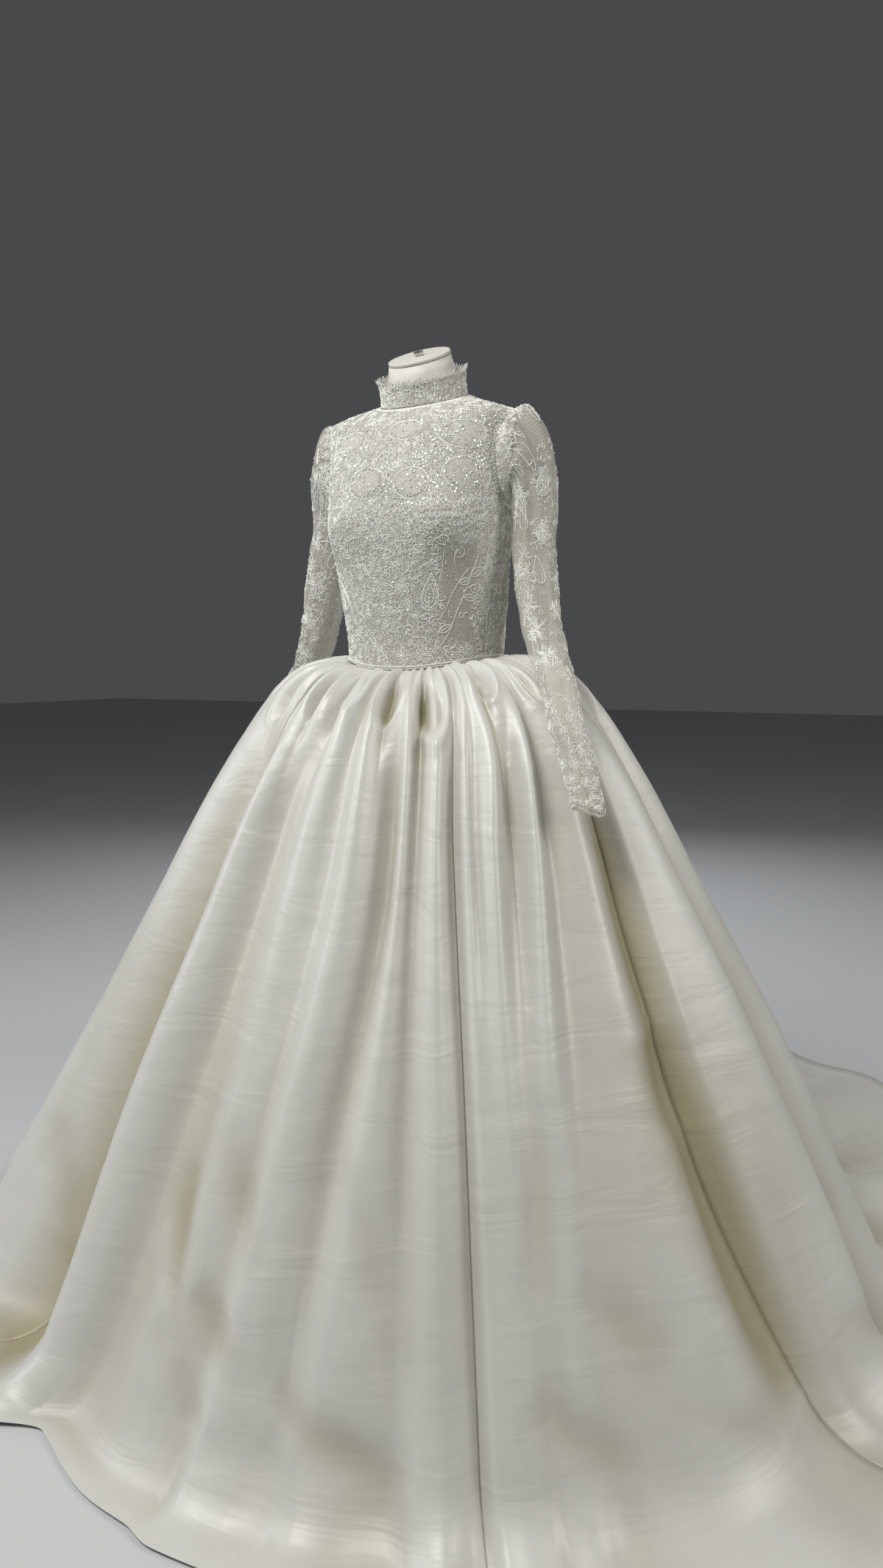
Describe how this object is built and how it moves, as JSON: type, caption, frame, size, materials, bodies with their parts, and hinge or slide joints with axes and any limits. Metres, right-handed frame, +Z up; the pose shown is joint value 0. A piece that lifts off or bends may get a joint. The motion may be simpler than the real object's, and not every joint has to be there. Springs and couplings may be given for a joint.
{
  "type": "wedding dress on a limbless dress form",
  "caption": "Long-sleeved high-neck lace bodice with a full gathered satin skirt and train, standing on a smooth dress form.",
  "frame": {"origin": "centre of the stand base's flat underside, on the floor under the form", "axes": "+Z up, the dress's front faces -Y and its train runs to +Y, +X is the wearer's left"},
  "size_m": [1.9712, 2.202, 1.5762],
  "materials": {
    "satin": "heavy ivory duchess satin, soft sheen",
    "lace": "beaded corded lace over ivory lining",
    "tulle": "sheer ivory tulle with lace motifs",
    "covered_button": "satin covered",
    "form_skin": "smooth white, matt",
    "stand_metal": "satin nickel"
  },
  "bodies": {
    "root": {"stand_base": "stand_metal", "stand_pole": "stand_metal", "form_torso": "form_skin", "neck_cap": "form_skin", "neck_socket": "stand_metal", "bodice_front": "lace", "bodice_back_left": "lace", "bodice_back_right": "lace", "collar": "lace", "collar_fringe": "tulle", "sleeve_left": "tulle", "sleeve_right": "tulle", "cuff_fringe_left": "tulle", "cuff_fringe_right": "tulle", "collar_button_1": "covered_button", "collar_button_2": "covered_button", "zip_pull": "stand_metal", "skirt_back_right": "satin", "skirt_side_back_right": "satin", "skirt_side_right": "satin", "skirt_front": "satin", "skirt_side_front_left": "satin", "skirt_side_left": "satin", "skirt_back_left": "satin"}
  },
  "joints": []
}
